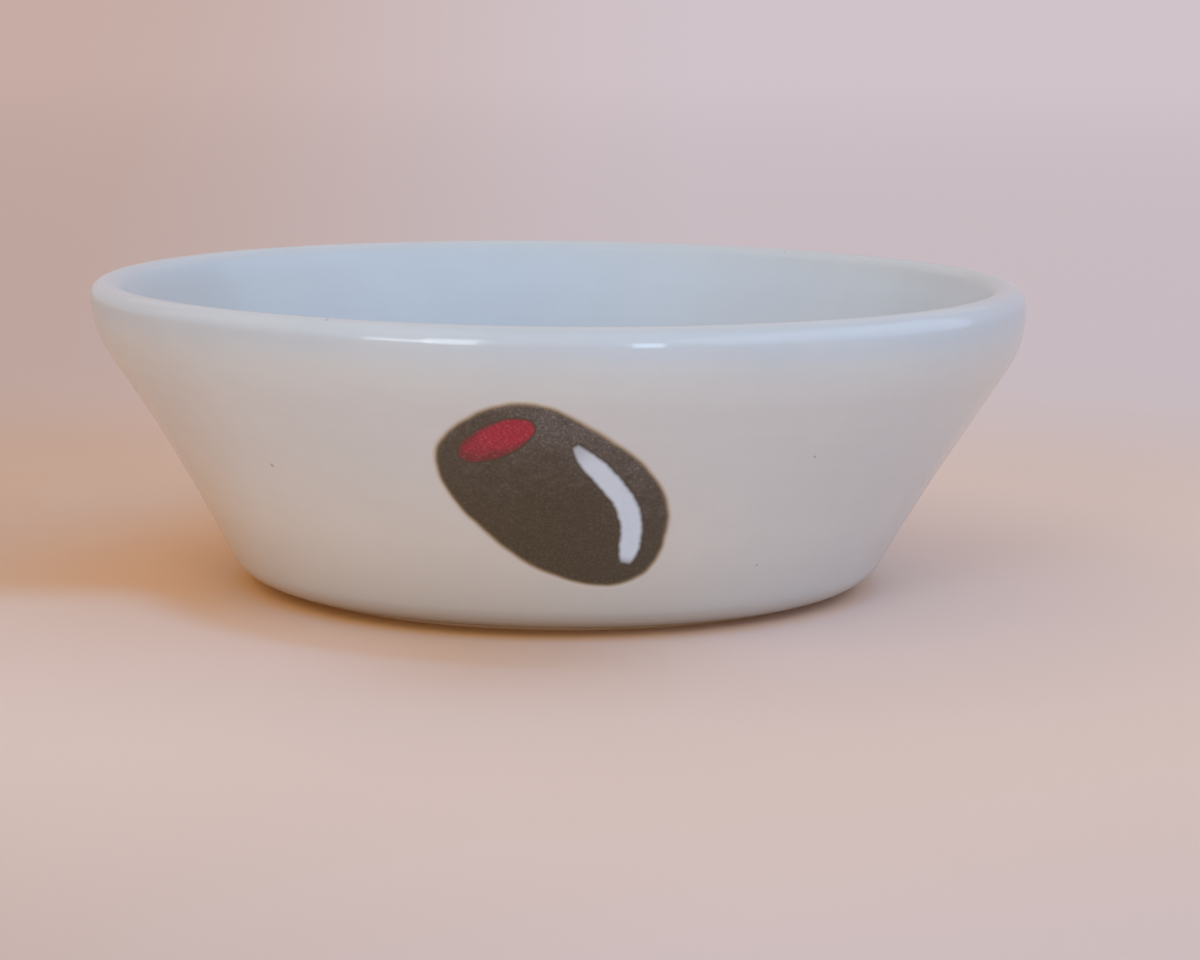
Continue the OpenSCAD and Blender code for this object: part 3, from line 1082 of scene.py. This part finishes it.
# The camera's place in metres, and its heading, tilt and roll in radians
CAMERA_PLACE = (0.0012, -0.3766, 0.0712)
CAMERA_YAW, CAMERA_PITCH, CAMERA_ROLL = 0.0102, -0.1569, 0.0135
CAMERA_LENS_MM = 96
SENSOR_MM = 36
FLOOR_RADIUS_M = 30
AIM = Vector((0, 0, 0.03))
# Each softbox: angle round the dish from the front, height above the horizon, distance,
# width and height in metres, watts, and colour
SOFTBOXES = {
    "window_left": (-36.5, 8.5, 1.2, 0.35, 0.3, 1.6, (0.9, 0.97, 1.0)),
    "window_left_tall": (-24.4, 11, 1.2, 0.26, 0.7, 3.3, (0.88, 0.96, 1.0)),
    "window_right": (20.7, 8.5, 1.2, 0.15, 0.45, 1.9, (0.54, 0.77, 1.0)),
    "front": (8, 50, 1.5, 2.4, 2.0, 4.8, (0.54, 0.83, 1.0)),
    "right": (76, 26, 1.8, 3.2, 1.7, 19.6, (0.62, 0.79, 1.0)),
    "left": (-85, 50, 1.6, 2.0, 1.8, 4.2, (0.97, 0.88, 0.76)),
    "back": (180, 50, 1.6, 2.2, 1.6, 2.2, (1.0, 0.97, 0.95)),
}
# The sky's light from the left and from the right
SKY_LEFT = (0.85, 0.64, 0.42)
SKY_RIGHT = (0.52, 0.51, 0.47)


def make_floor(colours):
    """A wide round floor, warm on the left, cool on the right and orange round the foot. The orange, and
    part of the warmth beside the dish on the left, is painted warm shadow.

    Near the dish it is lit, has faint soft clouds and takes the shadow. Close round the dish and in the
    contact shadow on the left it has painted light, and beyond the dish a wide ring of painted shade.
    Far off it shows its plain colour.
    """
    turn = whole_turn(96)
    radii = np.concatenate([[0.02], np.geomspace(0.05, FLOOR_RADIUS_M, 32)])[::-1] / MM
    rows = in_space(turn, radii[:, None], 0)
    points = np.concatenate([rows.reshape(-1, 3), [[0, 0, 0]]])
    quads = grid_faces(len(radii), len(turn))
    pole = pole_faces(len(points) - 1, (len(radii) - 1) * len(turn), len(turn), flip=False)
    floor = make_mesh("floor", points, quads, pole)
    finish = Finish("floor", Roughness=0.9)
    away = finish.radius.rising(90, 240)
    cloud = (finish.noise(0.014, 2.0, 0.4) - 0.5) * (1 - away)
    side = (finish.x / (finish.radius * 0.12 + 60) + cloud).rising(-1.3, 0.4)
    # Bounds the warm zone behind and left of the dish, which is partly painted warm shadow
    ahead = (finish.y / (finish.radius * 0.4 + 6)).rising(-0.1, -0.75)
    cool = side.larger(ahead * finish.radius.rising(41, 54))
    left, right = finish.x.rising(-8, -32), finish.x.rising(-10, 28)
    close = finish.radius.rising(80, 36)
    under = finish.radius.rising(40, 35)
    # Painted shade on the floor beyond the dish, fading out far off
    dim = finish.radius.rising(80, 180) * finish.radius.rising(2000, 300)
    # Painted light in the contact shadow on the left
    contact_light = under * left * 0.07
    # Painted light close round the dish, more on the right
    tone = 1 + cloud * 0.05 + close * (right * 0.12 + left * 0.09) + contact_light - dim * 0.09
    near = finish.mix(cool, colours.floor_warm, colours.floor_cool)
    # Painted warm shadow: orange round the foot, less on the right and at the front left
    orange = 0.7 - cool * 0.38 - right * 0.26 - finish.y.rising(-8, -30) * left * 0.25
    near = finish.mix(close * orange.clamped(), near, colours.floor_warm_shadow)
    # Painted warm shadow in the gap under the dish
    near = finish.mix(under * (1 - right * 0.6), near, colours.floor_warm_shadow)
    far = finish.mix(side, colours.far_warm, colours.far_cool)
    finish.paint(base_color=finish.shade(finish.mix(away, near, far), tone))
    finish.seen_as(finish.shade(far, tone), away)
    floor.data.materials.append(finish.material)


def make_lights(colours):
    """Low windows in front on both sides, broad soft lights all round, and a sky with a warmer
    left side. The camera and reflections see the far floor's colour in its place.
    """
    for name, (turn, climb, far, wide, tall, watts, tint) in SOFTBOXES.items():
        lamp = bpy.data.lights.new(name, "AREA")
        lamp.shape, lamp.size, lamp.size_y = "RECTANGLE", wide, tall
        lamp.energy, lamp.color = watts, tint
        box = bpy.data.objects.new(name, lamp)
        turn, climb = math.radians(turn), math.radians(climb)
        place = Vector((math.sin(turn), -math.cos(turn), math.tan(climb)))
        box.location = AIM + place.normalized() * far
        box.rotation_euler = (AIM - box.location).to_track_quat("-Z", "Y").to_euler()
        bpy.context.scene.collection.objects.link(box)
    world = bpy.data.worlds.new("sky")
    world.use_nodes = True
    sky = NodeMaker(world.node_tree)
    towards = sky.node("ShaderNodeTexCoord").outputs["Generated"]
    side = sky.number("ShaderNodeSeparateXYZ", {}, {0: towards}) * 0.5 + 0.5
    light = sky.node("ShaderNodeBackground", {}, {"Color": sky.mix(side, SKY_LEFT, SKY_RIGHT)})
    shown = sky.node("ShaderNodeBackground", {}, {"Color": colours.far_cool})
    sky.node("ShaderNodeOutputWorld", {}, {"Surface": sky.blended(sky.seen(), light, shown)})
    bpy.context.scene.world = world


def make_camera():
    """The photograph's view, as a heading, a look down and a slight roll."""
    yaw, pitch, roll = CAMERA_YAW, CAMERA_PITCH, CAMERA_ROLL
    ahead = Vector((
        math.sin(yaw) * math.cos(pitch), math.cos(yaw) * math.cos(pitch), math.sin(pitch)
    ))
    level = Vector((math.cos(yaw), -math.sin(yaw), 0))
    right = math.cos(roll) * level + math.sin(roll) * level.cross(ahead)
    camera = bpy.data.cameras.new("camera")
    camera.lens, camera.sensor_width, camera.sensor_fit = CAMERA_LENS_MM, SENSOR_MM, "HORIZONTAL"
    camera.clip_start, camera.clip_end = 0.01, 2 * FLOOR_RADIUS_M
    holder = bpy.data.objects.new("camera", camera)
    turn = Matrix((right, right.cross(ahead), -ahead)).transposed().to_4x4()
    holder.matrix_world = Matrix.Translation(CAMERA_PLACE) @ turn
    bpy.context.scene.collection.objects.link(holder)
    bpy.context.scene.camera = holder


# Operators and panel

def settings():
    """The scene's sizes of the dish, sizes of the olive, and colours."""
    scene = bpy.context.scene
    return scene.dish_sizes, scene.olive_sizes, scene.dish_colours


class DISH_OT_clay(bpy.types.Operator):
    """Throw the clay body with its turned foot"""

    bl_idname, bl_label = "dish.clay", "Clay body"

    def execute(self, context):
        sizes, _, colours = settings()
        make_clay(Section(sizes), colours)
        return {"FINISHED"}


class DISH_OT_glazes(bpy.types.Operator):
    """Glaze the inside and the outer wall"""

    bl_idname, bl_label = "dish.glazes", "Glazes"

    def execute(self, context):
        sizes, _, colours = settings()
        section = Section(sizes)
        make_liner_glaze(section, colours)
        make_wall_glaze(section, sizes, colours)
        return {"FINISHED"}


class DISH_OT_olive(bpy.types.Operator):
    """Paint the stuffed olive on the front of the wall"""

    bl_idname, bl_label = "dish.olive", "Painted olive"

    def execute(self, context):
        sizes, olive, colours = settings()
        section = Section(sizes)
        make_olive_paint(section, olive, colours)
        make_pimento_paint(section, olive, colours)
        make_shine_paint(section, olive, colours)
        return {"FINISHED"}


class DISH_OT_stage(bpy.types.Operator):
    """Set the floor, the lights and the camera"""

    bl_idname, bl_label = "dish.stage", "Stage"

    def execute(self, context):
        colours = settings()[2]
        make_floor(colours)
        make_lights(colours)
        make_camera()
        context.scene.view_settings.view_transform = "Standard"
        return {"FINISHED"}


STEPS = (DISH_OT_clay, DISH_OT_glazes, DISH_OT_olive, DISH_OT_stage)


class DISH_PT_panel(bpy.types.Panel):
    """Sizes, colours and steps of the olive dish"""

    bl_label, bl_idname = "Olive dish", "DISH_PT_panel"
    bl_space_type, bl_region_type, bl_category = "VIEW_3D", "UI", "Dish"

    def draw(self, context):
        for group in settings():
            column = self.layout.column(align=True)
            for name in group.__annotations__:
                column.prop(group, name)
        for step in STEPS:
            self.layout.operator(step.bl_idname)


GROUPS = {"dish_sizes": DishSizes, "olive_sizes": OliveSizes, "dish_colours": DishColours}


def register():
    for group in (*GROUPS.values(), *STEPS, DISH_PT_panel):
        bpy.utils.register_class(group)
    for name, group in GROUPS.items():
        setattr(bpy.types.Scene, name, PointerProperty(type=group))


def unregister():
    for name in GROUPS:
        delattr(bpy.types.Scene, name)
    for group in (DISH_PT_panel, *reversed(STEPS), *GROUPS.values()):
        bpy.utils.unregister_class(group)


def main():
    register()
    for step in STEPS:
        group, name = step.bl_idname.split(".")
        getattr(getattr(bpy.ops, group), name)()


if __name__ == "__main__":
    main()
